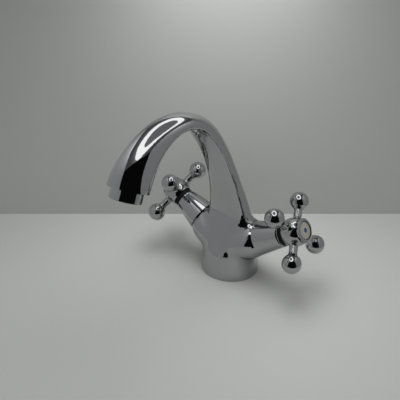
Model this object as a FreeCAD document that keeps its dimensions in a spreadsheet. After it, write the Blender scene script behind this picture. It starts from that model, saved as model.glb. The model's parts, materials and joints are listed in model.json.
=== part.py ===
import FreeCAD, Part
import math
import os

import Sketcher
from FreeCAD import Placement, Rotation, Vector

# Two-handle basin mixer tap for a single tap hole.
# The tap's axis is Z, the foot stands on z = 0, the spout reaches towards -Y
# and the two valve arms slope up towards +X (cold) and -X (hot).

SIZES = {
    # casting: foot, bell, spout
    "foot_radius": 27.0,
    "bell_height": 62.1,
    "mouth_reach": 110.5,
    "crown_height": 151.1,
    "crown_width": 23.8,
    "crown_depth": 14.0,
    "mouth_radius": 15.3,
    "mouth_turn": 156.1,
    "spout_wall": 2.6,
    # casting: underside
    "recess_radius": 21.0,
    "recess_depth": 12.0,
    "foot_groove_radius": 25.3,
    "foot_groove_width": 3.1,
    "foot_groove_depth": 2.3,
    "inlet_spread": 9.0,
    "inlet_radius": 4.5,
    "inlet_depth": 12.0,
    "feed_radius": 3.2,
    "stud_setback": 13.0,
    "stud_radius": 3.4,
    "stud_depth": 14.0,
    # casting: valve arms
    "arm_tilt": 27.7,
    "arm_height": 25.3,
    "arm_length": 37.0,
    "arm_radius": 15.0,
    "shoulder_half_height": 16.6,
    "shoulder_sag": 1.4,
    "arm_blend": 12.0,
    "joint_bevel": 0.8,
    "valve_bore_radius": 10.5,
    "valve_bore_depth": 23.0,
    "seat_hole_radius": 4.0,
    "outlet_port_radius": 3.0,
    "outlet_port_inset": 2.66,
    "outlet_port_spread": 10.5,
    # valve: seal and ceramic discs
    "seat_seal_radius": 7.9,
    "seat_seal_width": 1.3,
    "seat_seal_height": 3.0,
    "disc_radius": 8.2,
    "disc_thickness": 3.0,
    "port_angle": 80.0,
    "port_outer_radius": 6.3,
    "port_core_radius": 2.4,
    # valve: bonnet
    "bonnet_foot_gap": 1.0,
    "bonnet_wall": 1.0,
    "bonnet_thread_length": 11.0,
    "bonnet_seal_height": 1.0,
    "bonnet_flange_radius": 12.6,
    "bonnet_flange_height": 2.0,
    "bonnet_hex_flats": 19.0,
    "bonnet_hex_height": 6.0,
    "bonnet_stem_radius": 7.4,
    "bonnet_stem_length": 21.0,
    "window_width": 8.0,
    "window_height": 3.0,
    # valve: spindle
    "driver_height": 3.0,
    "tang_width": 3.0,
    "tang_length": 12.0,
    "tang_depth": 1.2,
    "spindle_radius": 5.0,
    "ring_groove_radius": 3.85,
    "ring_groove_width": 1.4,
    "ring_groove_pitch": 8.0,
    "ring_groove_height": 38.0,
    "o_ring_thickness": 1.1,
    "clip_radius": 6.6,
    "clip_thickness": 0.9,
    "clip_groove_radius": 4.1,
    "clip_gap_width": 4.0,
    "clip_lift": 0.3,
    "spline_radius": 4.0,
    "spline_depth": 0.45,
    "spline_length": 7.8,
    "screw_thread_radius": 2.0,
    "screw_thread_length": 8.5,
    # trim: sleeve and its nut
    "sleeve_radius": 15.1,
    "sleeve_end_radius": 11.1,
    "sleeve_length": 24.0,
    "sleeve_wall": 1.6,
    "sleeve_lip_height": 3.5,
    "sleeve_rim_round": 0.6,
    "sleeve_ring_inset": 0.9,
    "sleeve_ring_height": 0.9,
    "nut_radius": 9.7,
    "nut_height": 5.1,
    "nut_chamfer": 0.4,
    # handle
    "handle_gap": 5.5,
    "hub_rear_radius": 10.9,
    "hub_front_radius": 10.2,
    "hub_length": 14.85,
    "hub_arc_radius": 16.0,
    "hub_cavity_wall": 0.9,
    "hub_cavity_depth": 2.7,
    "socket_depth": 7.2,
    "web_thickness": 1.6,
    "cross_offset": 7.3,
    "cross_turn": 45.0,
    "rod_radius": 3.55,
    "ball_reach": 28.45,
    "ball_radius": 8.24,
    "ball_blend": 4.0,
    "hub_blend": 2.6,
    "screw_head_radius": 3.6,
    "screw_head_height": 1.8,
    "screw_key_radius": 1.45,
    "screw_key_depth": 1.1,
    # index cap
    "cap_spigot_radius": 8.55,
    "cap_spigot_length": 1.7,
    "cap_seat_radius": 6.6,
    "cap_seat_rise": 0.3,
    "cap_ring_height": 2.7,
    "cap_ring_slope": 0.9,
    "cap_ring_land": 0.4,
    "cap_ring_bevel": 0.5,
    "index_disc_radius": 7.6,
    "index_disc_edge": 1.7,
    "index_dome": 0.5,
    "index_dot_radius": 2.0,
    "index_dot_depth": 0.8,
    # aerator
    "collar_radius": 11.94,
    "collar_height": 8.2,
    "collar_chamfer": 0.5,
    "aerator_thread_radius": 11.0,
    "aerator_thread_length": 5.4,
    "aerator_bore_radius": 9.9,
    "aerator_lip_radius": 9.2,
    "aerator_lip_height": 1.0,
    "insert_height": 10.5,
    "insert_plate": 2.0,
    "insert_wall": 1.2,
    "jet_radius": 0.8,
    "jet_pitch": 2.35,
    "washer_width": 2.6,
    "washer_thickness": 1.6,
    "throat_radius": 8.6,
    "throat_length": 17.0,
    # fits
    "fit_clearance": 0.05,
    "running_gap": 0.03,
    "overrun": 1.0,
}

# Plain shares and counts
HALF_SHARE = 0.5
HEX_CORNER_SHARE = 0.57735
LEAST_CORNER_SHARE = 0.1
TOLERANCE = 1e-6
HEXAGON_SIDES = 6
SPLINE_TEETH = 20
JET_RINGS = 3
JETS_MORE_EACH_RING = 6
ROD_COUNT = 4

# One row per cross section of the foot and bell, from the floor up:
# front, height, turn in degrees, half width, depth, corner and face radius.
# Lengths are shares of foot_radius, the height is a share of bell_height.
BELL_SHARES = (
    (1.000, 0.000, 0.0, 1.000, 2.000, 0.926, 1.045),
    (0.981, 0.145, 0.0, 0.981, 1.963, 0.907, 1.030),
    (0.948, 0.290, 1.0, 0.948, 1.889, 0.870, 1.000),
    (0.867, 0.435, 2.0, 0.919, 1.774, 0.667, 1.075),
    (0.726, 0.580, 3.0, 0.885, 1.563, 0.444, 1.260),
    (0.578, 0.773, 4.0, 0.815, 1.267, 0.259, 1.780),
    (0.485, 1.000, 5.0, 0.707, 1.011, 0.167, 2.220),
)

# The same for the spout, from the bell up to the crown and down to the mouth:
# reach, rise, turn, half width, depth, mouth, corner and face radius.
# Reach and rise are shares of the way from the bell to the mouth and crown,
# width and depth of the crown's, mouth says how far the section has grown
# towards the round mouth, and the last two are shares of mouth_radius.
SPOUT_SHARES = (
    (0.027, 0.201, 12.0, 1.328, 1.550, 0.00, 0.248, 3.92),
    (0.118, 0.498, 25.0, 1.076, 1.257, 0.00, 0.222, 3.14),
    (0.236, 0.729, 36.0, 0.966, 1.186, 0.00, 0.222, 2.09),
    (0.379, 0.904, 50.0, 0.950, 1.107, 0.00, 0.222, 1.44),
    (0.570, 1.000, 83.0, 1.000, 1.000, 0.00, 0.216, 1.18),
    (0.750, 0.960, 117.0, 0.945, 1.000, 0.235, 0.261, 1.11),
    (0.870, 0.864, 136.0, 0.770, 1.000, 0.56, 0.425, 1.11),
    (0.946, 0.749, 150.0, 0.450, 1.000, 0.88, 0.686, 1.11),
    (1.000, 0.627, None, 0.000, 1.000, 1.00, 0.935, 1.078),
)

# One row per cross section of an arm, from the tap's axis out to the sleeve:
# distance as a share of arm_length, then how far the half height has grown
# from arm_radius to shoulder_half_height, how far the half width has grown from
# arm_radius to the shoulder's, which is a share of foot_radius, and how far the
# section hangs below the arm's axis, as a share of shoulder_sag.
ARM_SHARES = (
    (0.00, 1.00, 0.92, 1.00),
    (0.25, 0.95, 1.00, 1.00),
    (0.50, 0.85, 0.96, 1.00),
    (0.66, 0.70, 0.90, 0.85),
    (0.79, 0.50, 0.74, 0.60),
    (0.90, 0.25, 0.45, 0.28),
    (1.00, 0.00, 0.00, 0.00),
)
SHOULDER_SHARE = 0.752

# Points of one cross section: on the face, on each corner, on the back.
FACE_POINTS = 8
CORNER_POINTS = 6
BACK_POINTS = 16
OVAL_POINTS = 24

doc = FreeCAD.newDocument("basin_mixer")
sheet = doc.addObject("Spreadsheet::Sheet", "Sheet")
for row, (alias, value) in enumerate(SIZES.items(), start=1):
    sheet.set(f"A{row}", str(value))
    sheet.setAlias(f"A{row}", alias)
doc.recompute()


class Length:
    """A length in mm with the sheet expression that gives it."""

    def __init__(self, value, text):
        self.value = value
        self.text = text

    def __add__(self, other):
        return Length(self.value + other.value, f"({self.text} + {other.text})")

    def __sub__(self, other):
        return Length(self.value - other.value, f"({self.text} - {other.text})")

    def __mul__(self, share):
        return Length(self.value * share, f"({self.text} * {share})")

    def in_ratio(self, part, whole):
        """This length times part over whole."""
        text = f"({self.text} * {part.text} / {whole.text})"
        return Length(self.value * part.value / whole.value, text)


class Sizes:
    """Reads each alias of the sheet as a Length."""

    def __getattr__(self, alias):
        return Length(float(sheet.get(alias)), f"Sheet.{alias}")


size = Sizes()
ZERO = Length(0.0, "0")
WHOLE_TURN = 360.0
HALF_TURN = 180.0
RIGHT_ANGLE = 90.0
pieces = {}


def keep(name, feature):
    """Give a finished sub-part its node name."""
    feature.Label = name
    pieces[name] = feature
    return feature


def bind(feature, **lengths):
    """Bind properties of a feature to the sheet."""
    for prop, length in lengths.items():
        feature.setExpression(prop, length.text)
    return feature


def plane(body, role):
    """The origin plane of a body with the given role."""
    return next(f for f in body.Origin.OriginFeatures if f.Role == role)


def arc_radius(half_chord, rise):
    """Radius of the arc over a chord with a given rise."""
    value = (half_chord.value ** 2 + rise.value ** 2) / (2 * rise.value)
    text = f"(({half_chord.text}) ^ 2 + ({rise.text}) ^ 2) / (2 * ({rise.text}))"
    return Length(value, text)


def arc_between(start, end, radius):
    """Arc from start to end that bulges to the right of the way there."""
    chord = end - start
    half = chord.Length / 2
    offset = math.sqrt(radius ** 2 - half ** 2)
    left = Vector(-chord.y, chord.x, 0).normalize()
    centre = (start + end) / 2 + left * offset
    first = math.atan2(start.y - centre.y, start.x - centre.x)
    last = math.atan2(end.y - centre.y, end.x - centre.x)
    circle = Part.Circle(centre, Vector(0, 0, 1), radius)
    return Part.ArcOfCircle(circle, first, last)


def draw(sketch, points, arcs=None):
    """Draw a closed outline whose points and arc radii are bound to the sheet.

    points are pairs of Lengths in counter-clockwise order, and arcs gives
    the radius of each stretch that isn't straight, by its number.
    """
    arcs = arcs or {}
    places = [Vector(x.value, y.value, 0) for x, y in points]
    count = len(places)
    for i in range(count):
        start, end = places[i], places[(i + 1) % count]
        if i in arcs:
            sketch.addGeometry(arc_between(start, end, arcs[i].value), False)
        else:
            sketch.addGeometry(Part.LineSegment(start, end), False)
    for i in range(count):
        sketch.addConstraint(Sketcher.Constraint("Coincident", i, 2, (i + 1) % count, 1))
    for i, (x, y) in enumerate(points):
        for length, kind, axis in ((x, "DistanceX", -2), (y, "DistanceY", -1)):
            if length.value == 0:
                sketch.addConstraint(Sketcher.Constraint("PointOnObject", i, 1, axis))
                continue
            number = sketch.addConstraint(Sketcher.Constraint(kind, -1, 1, i, 1, length.value))
            sketch.setExpression(f"Constraints[{number}]", length.text)
    for i, radius in arcs.items():
        number = sketch.addConstraint(Sketcher.Constraint("Radius", i, radius.value))
        sketch.setExpression(f"Constraints[{number}]", radius.text)


def turned(name, points, arcs=None):
    """A body turned about its Z axis from an outline of (radius, height)."""
    body = doc.addObject("PartDesign::Body", name)
    sketch = body.newObject("Sketcher::SketchObject", f"{name}_profile")
    sketch.AttachmentSupport = (plane(body, "XZ_Plane"), [""])
    sketch.MapMode = "FlatFace"
    draw(sketch, points, arcs)
    turn = body.newObject("PartDesign::Revolution", f"{name}_turn")
    turn.Profile = sketch
    turn.ReferenceAxis = (sketch, ["V_Axis"])
    turn.Angle = WHOLE_TURN
    body.Tip = turn
    doc.recompute()
    return body


def ring(name, inner, outer, bottom, top):
    """A turned ring or, with a zero inner radius, a disc."""
    return turned(name, ((inner, bottom), (outer, bottom), (outer, top), (inner, top)))


def cylinder(name, radius, height, place):
    """A cylinder along the Z axis of a placement."""
    rod = doc.addObject("Part::Cylinder", name)
    bind(rod, Radius=radius, Height=height)
    rod.Placement = place
    return rod


def box(name, length, width, height, bottom, shift=ZERO):
    """A box centred on the Z axis or shifted along X, standing at a height."""
    block = doc.addObject("Part::Box", name)
    bind(block, Length=length, Width=width, Height=height)
    corner = Vector(shift.value - length.value / 2, -width.value / 2, bottom.value)
    block.Placement = Placement(corner, Rotation())
    return block


def prism(name, circumradius, height, bottom):
    """A hexagonal prism on the Z axis."""
    block = doc.addObject("Part::Prism", name)
    block.Polygon = HEXAGON_SIDES
    bind(block, Circumradius=circumradius, Height=height)
    block.Placement = lifted(bottom)
    return block


def fuse(name, features):
    joined = doc.addObject("Part::MultiFuse", name)
    joined.Shapes = features
    return joined


def cut(name, base, tools):
    """Cut one or more tools out of a base."""
    tool = tools[0] if len(tools) == 1 else fuse(f"{name}_tools", tools)
    result = doc.addObject("Part::Cut", name)
    result.Base = base
    result.Tool = tool
    return result


def lifted(height):
    return Placement(Vector(0, 0, height.value), Rotation())


def blended(name, base, radius, wanted):
    """Round the edges for which wanted(kinds of the two faces, edge) holds."""
    doc.recompute()
    shape = base.Shape
    chosen = []
    for number, edge in enumerate(shape.Edges, start=1):
        faces = shape.ancestorsOfType(edge, Part.Face)
        kinds = {type(face.Surface).__name__ for face in faces}
        if len(faces) == 2 and wanted(kinds, edge):
            chosen.append((number, radius.value, radius.value))
    rounded = doc.addObject("Part::Fillet", name)
    rounded.Base = base
    rounded.Edges = chosen
    return rounded


# Stations of the casting

def section_points(half_width, depth, corner, face, inset):
    """Points of a cross section: crowned face, two corners, elliptic back.

    The face's middle is at (0, inset) and the back's at (0, depth - inset).
    """
    wide = half_width - inset
    deep = depth - 2 * inset
    corner = max(corner - inset, wide * LEAST_CORNER_SHARE)
    face = max(face - inset, wide)
    side = face - math.sqrt((face - corner) ** 2 - (wide - corner) ** 2)
    swing = math.asin((wide - corner) / (face - corner))
    points = []
    for k in range(FACE_POINTS):
        angle = swing * (2 * k / FACE_POINTS - 1)
        points.append((face * math.sin(angle), face - face * math.cos(angle)))
    for k in range(CORNER_POINTS):
        angle = (math.pi / 2 - swing) * (k / CORNER_POINTS - 1)
        points.append((wide - corner + corner * math.cos(angle), side + corner * math.sin(angle)))
    for k in range(BACK_POINTS):
        angle = math.pi * k / BACK_POINTS
        points.append((wide * math.cos(angle), side + (deep - side) * math.sin(angle)))
    for k in range(CORNER_POINTS):
        angle = math.pi + (math.pi / 2 - swing) * k / CORNER_POINTS
        points.append((corner - wide + corner * math.cos(angle), side + corner * math.sin(angle)))
    return [(across, along + inset) for across, along in points]


def bell_rows():
    """Place and size of each bell section."""
    foot = size.foot_radius.value
    rows = []
    for front, height, turn, width, depth, corner, face in BELL_SHARES:
        middle = Vector(0, -foot * front, size.bell_height.value * height)
        rows.append((middle, turn, foot * width, foot * depth, foot * corner, foot * face))
    return rows


def spout_rows():
    """Place and size of each spout section."""
    mouth = size.mouth_radius.value
    start = size.foot_radius.value * BELL_SHARES[-1][0]
    climb = size.crown_height.value - size.bell_height.value
    rows = []
    for reach, rise, turn, width, depth, grown, corner, face in SPOUT_SHARES:
        forward = start + (size.mouth_reach.value - start) * reach
        middle = Vector(0, -forward, size.bell_height.value + climb * rise)
        half = size.crown_width.value / 2 * width * (1 - grown) + mouth * grown
        deep = size.crown_depth.value * depth * (1 - grown) + 2 * mouth * grown
        turn = size.mouth_turn.value if turn is None else turn
        rows.append((middle, turn, half, deep, mouth * corner, mouth * face))
    return rows


def steps_round(points):
    """Distance from each point of a closed outline to the next, as shares."""
    steps = [math.dist(point, points[(i + 1) % len(points)]) for i, point in enumerate(points)]
    return [step / sum(steps) for step in steps]


def section_wires(name, rows, inset):
    """One closed smooth curve per row, all with the same parameters."""
    outlines = [section_points(*row[2:], inset) for row in rows]
    shares = [steps_round(points) for points in outlines]
    marks = [0.0]
    for step in zip(*shares):
        marks.append(marks[-1] + sum(step) / len(step))
    features = []
    for number, (row, points) in enumerate(zip(rows, outlines), start=1):
        middle, turn = row[0], math.radians(row[1])
        out = Vector(0, math.cos(turn), math.sin(turn))
        places = [middle + Vector(across, 0, 0) + out * along for across, along in points]
        curve = Part.BSplineCurve()
        curve.interpolate(Points=places, PeriodicFlag=True, Parameters=marks)
        section = doc.addObject("Part::Feature", f"{name}_{number}")
        section.Shape = Part.Wire([curve.toShape()])
        features.append(section)
    return features


def loft(name, rows, inset):
    skin = doc.addObject("Part::Loft", name)
    skin.Sections = section_wires(f"{name}_section", rows, inset)
    skin.Solid = True
    skin.Ruled = False
    return skin


def arm_frame(side):
    """Frame of a valve arm: Z runs out along the arm from the tap's axis."""
    lean = side * (RIGHT_ANGLE - size.arm_tilt.value)
    return Placement(Vector(0, 0, size.arm_height.value), Rotation(Vector(0, 1, 0), lean))


def mouth_frame():
    """Frame of the aerator: origin at its open face, Z into the spout."""
    turn = size.mouth_turn.value
    middle = spout_rows()[-1][0]
    inward = Vector(0, math.cos(math.radians(turn)), math.sin(math.radians(turn)))
    outward = Vector(0, -inward.z, inward.y)
    centre = middle + inward * size.mouth_radius.value + outward * size.collar_height.value
    return Placement(centre, Rotation(Vector(1, 0, 0), turn - HALF_TURN))


SIDES = {"cold": 1, "hot": -1}
arm_frames = {side: arm_frame(sign) for side, sign in SIDES.items()}
aerator_frame = mouth_frame()

# Heights along an arm, measured from the tap's axis
seat = size.arm_length - size.valve_bore_depth
seal_top = seat + size.seat_seal_height
fixed_top = seal_top + size.disc_thickness
moving_bottom = fixed_top + size.running_gap
moving_top = moving_bottom + size.disc_thickness
driver_top = moving_top + size.driver_height
flange_bottom = size.arm_length + size.bonnet_seal_height
flange_top = flange_bottom + size.bonnet_flange_height
hex_top = flange_top + size.bonnet_hex_height
stem_top = hex_top + size.bonnet_stem_length
sleeve_top = size.arm_length + size.sleeve_length
nut_foot = sleeve_top + size.sleeve_ring_height
hub_rear = sleeve_top + size.handle_gap
hub_front = hub_rear + size.hub_length
cavity_floor = hub_rear + size.hub_cavity_depth
socket_floor = cavity_floor + size.socket_depth
web_front = socket_floor + size.web_thickness
cross_height = hub_rear + size.cross_offset
clip_bottom = stem_top + size.clip_lift
clip_top = clip_bottom + size.clip_thickness
spindle_top = clip_top + size.spline_length


def body_casting():
    """The casting: foot, bell, spout and arms, with its waterways."""
    skin = loft("skin", bell_rows() + spout_rows(), 0.0)
    arms = [arm_shape(side, frame) for side, frame in arm_frames.items()]
    outside = blended(
        "outside", fuse("raw_outside", [skin] + arms), size.arm_blend,
        lambda kinds, edge: kinds == {"BSplineSurface"})

    channel = loft("channel", bell_rows()[-1:] + spout_rows()[:-1], size.spout_wall.value)
    mouth_plane = lifted(size.collar_height)
    bore = cylinder(
        "mouth_bore", size.aerator_thread_radius + size.fit_clearance,
        size.aerator_thread_length + size.washer_thickness,
        aerator_frame.multiply(mouth_plane))
    throat = cylinder(
        "throat", size.throat_radius, size.throat_length, aerator_frame.multiply(mouth_plane))
    tools = [channel, bore, throat]

    for side, frame in arm_frames.items():
        bevel = end_bevel(side)
        bevel.Placement = frame
        tools.append(bevel)
        tools.append(cylinder(
            f"{side}_valve_bore", size.valve_bore_radius,
            size.valve_bore_depth + size.overrun, frame.multiply(lifted(seat))))
        feed_reach = size.inlet_spread - size.overrun
        tools.append(cylinder(
            f"{side}_seat_hole", size.seat_hole_radius, seat + size.overrun - feed_reach,
            frame.multiply(lifted(feed_reach))))
        across = SIDES[side] * size.inlet_spread.value
        ceiling = size.recess_depth.value
        tools.append(cylinder(
            f"{side}_inlet", size.inlet_radius, size.inlet_depth + size.overrun,
            Placement(Vector(across, 0, ceiling - size.overrun.value), Rotation())))
        tools.append(cylinder(
            f"{side}_feed", size.feed_radius,
            size.arm_height + size.seat_hole_radius - size.recess_depth,
            Placement(Vector(across, 0, ceiling), Rotation())))
        tools.append(outlet_port(side))

    under = Placement(Vector(0, 0, -size.overrun.value), Rotation())
    tools.append(cylinder("recess", size.recess_radius, size.recess_depth + size.overrun, under))
    behind = Vector(0, size.stud_setback.value, (size.recess_depth - size.overrun).value)
    tools.append(cylinder(
        "stud_hole", size.stud_radius, size.stud_depth + size.overrun,
        Placement(behind, Rotation())))
    groove = cut("foot_groove", cylinder(
        "groove_outer", size.foot_groove_radius,
        size.foot_groove_depth + size.overrun, under), [cylinder(
            "groove_inner", size.foot_groove_radius - size.foot_groove_width,
            size.foot_groove_depth + size.overrun, under)])
    tools.append(groove)
    return cut("body_casting", outside, tools)


def arm_shape(side, frame):
    """An arm that swells to a broad shoulder: a loft over ovals."""
    radius = size.arm_radius.value
    taller = size.shoulder_half_height.value - radius
    broader = size.foot_radius.value * SHOULDER_SHARE - radius
    sections = []
    for number, (out, tall, broad, low) in enumerate(ARM_SHARES, start=1):
        centre = Vector(SIDES[side] * size.shoulder_sag.value * low, 0, size.arm_length.value * out)
        oval = closed_oval(centre, radius + taller * tall, radius + broader * broad)
        section = doc.addObject("Part::Feature", f"{side}_arm_section_{number}")
        section.Shape = Part.Wire([oval.toShape()])
        section.Placement = frame
        sections.append(section)
    arm = doc.addObject("Part::Loft", f"{side}_arm")
    arm.Sections = sections
    arm.Solid = True
    arm.Ruled = False
    return arm


def closed_oval(centre, along_x, along_y):
    """A smooth closed curve through even points of an ellipse, from its +Y end."""
    places = []
    for k in range(OVAL_POINTS):
        angle = 2 * math.pi * k / OVAL_POINTS
        places.append(centre + Vector(along_x * math.sin(angle), along_y * math.cos(angle), 0))
    curve = Part.BSplineCurve()
    marks = [float(k) for k in range(OVAL_POINTS + 1)]
    curve.interpolate(Points=places, PeriodicFlag=True, Parameters=marks)
    return curve


def end_bevel(side):
    """Tool that bevels the arm's end, so that the joint with the sleeve shows."""
    inner = size.arm_radius - size.joint_bevel
    outer = size.arm_radius + size.overrun
    end = size.arm_length + size.overrun
    return turned(f"{side}_end_bevel", (
        (inner, size.arm_length), (outer, size.arm_length - size.joint_bevel - size.overrun),
        (outer, end), (inner, end)))


def outlet_port(side):
    """Passage from the valve's bore, close to its floor, up into the spout."""
    tilt = math.radians(size.arm_tilt.value)
    bore = size.valve_bore_radius.value
    near = seat.value * math.cos(tilt) - bore * math.sin(tilt) + size.outlet_port_inset.value
    start = Vector(SIDES[side] * near, 0, (size.arm_height + size.valve_bore_radius).value)
    end = Vector(
        SIDES[side] * size.outlet_port_spread.value, 0,
        (size.bell_height + size.outlet_port_radius).value)
    port = doc.addObject("Part::Cylinder", f"{side}_outlet_port")
    bind(port, Radius=size.outlet_port_radius)
    port.Height = (end - start).Length
    port.Placement = Placement(start, Rotation(Vector(0, 0, 1), end - start))
    return port


def foot_seal():
    inner = size.foot_groove_radius - size.foot_groove_width + size.fit_clearance
    outer = size.foot_groove_radius - size.fit_clearance
    return ring("foot_seal", inner, outer, ZERO, size.foot_groove_depth - size.fit_clearance)


# Valve pieces, one set for each side

def sector(name, radius, bottom, height, middle_angle):
    """A wedge of a disc about the arm's axis, centred on an angle."""
    wedge = doc.addObject("Part::Cylinder", name)
    bind(wedge, Radius=radius, Height=height, Angle=size.port_angle)
    turn = Rotation(Vector(0, 0, 1), middle_angle - size.port_angle.value / 2)
    wedge.Placement = Placement(Vector(0, 0, bottom.value), turn)
    return wedge


def ports(name, outer, bottom, height, middle_angle):
    """Two opposite wedges without their shared core."""
    pair = fuse(f"{name}_pair", [
        sector(f"{name}_a", outer, bottom, height, middle_angle),
        sector(f"{name}_b", outer, bottom, height, middle_angle + HALF_TURN)])
    core = cylinder(f"{name}_core", size.port_core_radius, height, lifted(bottom))
    return cut(f"{name}_shape", pair, [core])


def seat_seal(side):
    inner = size.seat_seal_radius - size.seat_seal_width
    return ring(f"{side}_seat_seal", inner, size.seat_seal_radius, seat, seal_top)


def fixed_disc(side):
    name = f"{side}_fixed_disc"
    blank = ring(f"{name}_blank", ZERO, size.disc_radius, seal_top, fixed_top)
    through = size.disc_thickness + size.overrun * 2
    openings = ports(
        f"{name}_ports", size.port_outer_radius, seal_top - size.overrun, through, 0.0)
    return cut(name, blank, [openings])


def moving_disc(side):
    name = f"{side}_moving_disc"
    blank = ring(f"{name}_blank", ZERO, size.disc_radius, moving_bottom, moving_top)
    through = size.disc_thickness + size.overrun * 2
    openings = ports(
        f"{name}_ports", size.disc_radius + size.overrun, moving_bottom - size.overrun,
        through, RIGHT_ANGLE)
    slot = box(
        f"{name}_slot", size.tang_length + size.fit_clearance * 2,
        size.tang_width + size.fit_clearance * 2,
        size.tang_depth + size.fit_clearance + size.overrun,
        moving_top - size.tang_depth - size.fit_clearance)
    return cut(name, blank, [openings, slot])


def bonnet(side):
    """The screwed valve body with its flange, hexagon and stem."""
    name = f"{side}_bonnet"
    bore = size.disc_radius + size.fit_clearance
    foot = seat + size.bonnet_foot_gap
    barrel = bore + size.bonnet_wall
    thread_bottom = size.arm_length - size.bonnet_thread_length
    thread = size.valve_bore_radius - size.fit_clearance
    corner = size.bonnet_hex_flats * HEX_CORNER_SHARE
    stem_bore = size.spindle_radius + size.fit_clearance
    shoulder = driver_top + size.running_gap
    shell = turned(f"{name}_shell", (
        (bore, foot), (barrel, foot), (barrel, thread_bottom), (thread, thread_bottom),
        (thread, flange_bottom), (size.bonnet_flange_radius, flange_bottom),
        (size.bonnet_flange_radius, flange_top), (size.bonnet_stem_radius, flange_top),
        (size.bonnet_stem_radius, stem_top), (stem_bore, stem_top),
        (stem_bore, shoulder), (bore, shoulder)))
    nut = cut(f"{name}_hexagon", prism(
        f"{name}_hexagon_blank", corner, size.bonnet_hex_height, flange_top), [cylinder(
            f"{name}_hexagon_bore", stem_bore, size.bonnet_hex_height, lifted(flange_top))])
    window = box(
        f"{name}_window", (barrel + size.overrun) * 2, size.window_width, size.window_height,
        moving_bottom)
    return cut(name, fuse(f"{name}_blank", [shell, nut]), [window])


def bonnet_seal(side):
    inner = size.valve_bore_radius + size.fit_clearance
    return ring(
        f"{side}_bonnet_seal", inner, size.bonnet_flange_radius, size.arm_length, flange_bottom)


def spindle(side):
    """The spindle: driver with its tang, two ring grooves, clip groove, spline."""
    name = f"{side}_spindle"
    driver = size.disc_radius
    radius = size.spindle_radius
    groove = size.ring_groove_radius
    points = [(ZERO, moving_top), (driver, moving_top), (driver, driver_top), (radius, driver_top)]
    for step in range(2):
        low = size.ring_groove_height + size.ring_groove_pitch * step
        high = low + size.ring_groove_width
        points += [(radius, low), (groove, low), (groove, high), (radius, high)]
    points += [
        (radius, clip_bottom), (size.clip_groove_radius, clip_bottom),
        (size.clip_groove_radius, clip_top), (size.spline_radius, clip_top),
        (size.spline_radius, spindle_top), (size.screw_thread_radius, spindle_top),
        (size.screw_thread_radius, spindle_top - size.screw_thread_length),
        (ZERO, spindle_top - size.screw_thread_length)]
    stem = turned(f"{name}_stem", points)
    tang = box(
        f"{name}_tang", size.tang_length, size.tang_width, size.tang_depth,
        moving_top - size.tang_depth)
    return cut(name, fuse(f"{name}_blank", [stem, tang]), [spline_gaps(name, clip_top)])


def spline_gaps(name, bottom):
    """The V grooves between the spline's teeth, as one tool."""
    tip = size.spline_radius.value + size.overrun.value
    root = size.spline_radius.value - size.spline_depth.value
    half = math.pi / SPLINE_TEETH * tip / size.spline_radius.value
    height = size.spline_length.value + size.overrun.value
    wedges = []
    for tooth in range(SPLINE_TEETH):
        angle = 2 * math.pi * tooth / SPLINE_TEETH
        corners = [
            Vector(root * math.cos(angle), root * math.sin(angle), bottom.value),
            Vector(tip * math.cos(angle + half), tip * math.sin(angle + half), bottom.value),
            Vector(tip * math.cos(angle - half), tip * math.sin(angle - half), bottom.value)]
        face = Part.Face(Part.makePolygon(corners + corners[:1]))
        wedges.append(face.extrude(Vector(0, 0, height)))
    gaps = doc.addObject("Part::Feature", f"{name}_spline_gaps")
    gaps.Shape = Part.makeCompound(wedges)
    return gaps


def spindle_o_rings(side):
    """The two seals of the spindle, in its grooves."""
    rings = []
    half = size.o_ring_thickness * HALF_SHARE
    for step in range(2):
        seal = doc.addObject("Part::Torus", f"{side}_o_ring_{step + 1}")
        bind(
            seal, Radius2=half,
            Radius1=size.ring_groove_radius + half + size.fit_clearance * HALF_SHARE)
        middle = size.ring_groove_width * HALF_SHARE + size.ring_groove_pitch * step
        seal.Placement = lifted(size.ring_groove_height + middle)
        rings.append(seal)
    pair = doc.addObject("Part::Compound", f"{side}_spindle_o_rings")
    pair.Links = rings
    return pair


def circlip(side):
    """Open spring ring that keeps the spindle in the bonnet."""
    name = f"{side}_circlip"
    inner = size.clip_groove_radius + size.fit_clearance
    top = clip_top - size.fit_clearance
    hoop = ring(f"{name}_hoop", inner, size.clip_radius, clip_bottom, top)
    reach = size.clip_radius + size.overrun
    gap = box(
        f"{name}_gap", reach, size.clip_gap_width, size.clip_thickness, clip_bottom,
        shift=reach * HALF_SHARE)
    return cut(name, hoop, [gap])


def sleeve(side):
    """Tapered trim sleeve with a small ring, and a lip that the sleeve nut holds down."""
    name = f"{side}_sleeve"
    foot = size.arm_length
    lip = sleeve_top - size.sleeve_lip_height
    taper = size.sleeve_radius - size.sleeve_end_radius
    fall = taper.in_ratio(size.sleeve_lip_height, size.sleeve_length)
    bore = size.bonnet_stem_radius + size.fit_clearance * 2
    neck = size.sleeve_end_radius - size.sleeve_ring_inset
    shell = turned(name, (
        (size.sleeve_radius - size.sleeve_wall, foot),
        (size.sleeve_radius - size.joint_bevel, foot),
        (size.sleeve_radius, foot + size.joint_bevel),
        (size.sleeve_end_radius, sleeve_top), (neck, sleeve_top), (neck, nut_foot),
        (bore, nut_foot), (bore, lip),
        (size.sleeve_end_radius + fall - size.sleeve_wall, lip)))
    turn = shell.Tip
    edge = rim_edge(turn, size.sleeve_end_radius.value)
    rounding = shell.newObject("PartDesign::Fillet", f"{name}_rim")
    rounding.Base = (turn, [edge])
    bind(rounding, Radius=size.sleeve_rim_round)
    shell.Tip = rounding
    return shell


def rim_edge(feature, radius):
    """Name of the topmost circular edge with the given radius."""
    rims = [
        (edge.Curve.Center.z, number)
        for number, edge in enumerate(feature.Shape.Edges, start=1)
        if isinstance(edge.Curve, Part.Circle) and abs(edge.Curve.Radius - radius) < TOLERANCE]
    return f"Edge{max(rims)[1]}"


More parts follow.
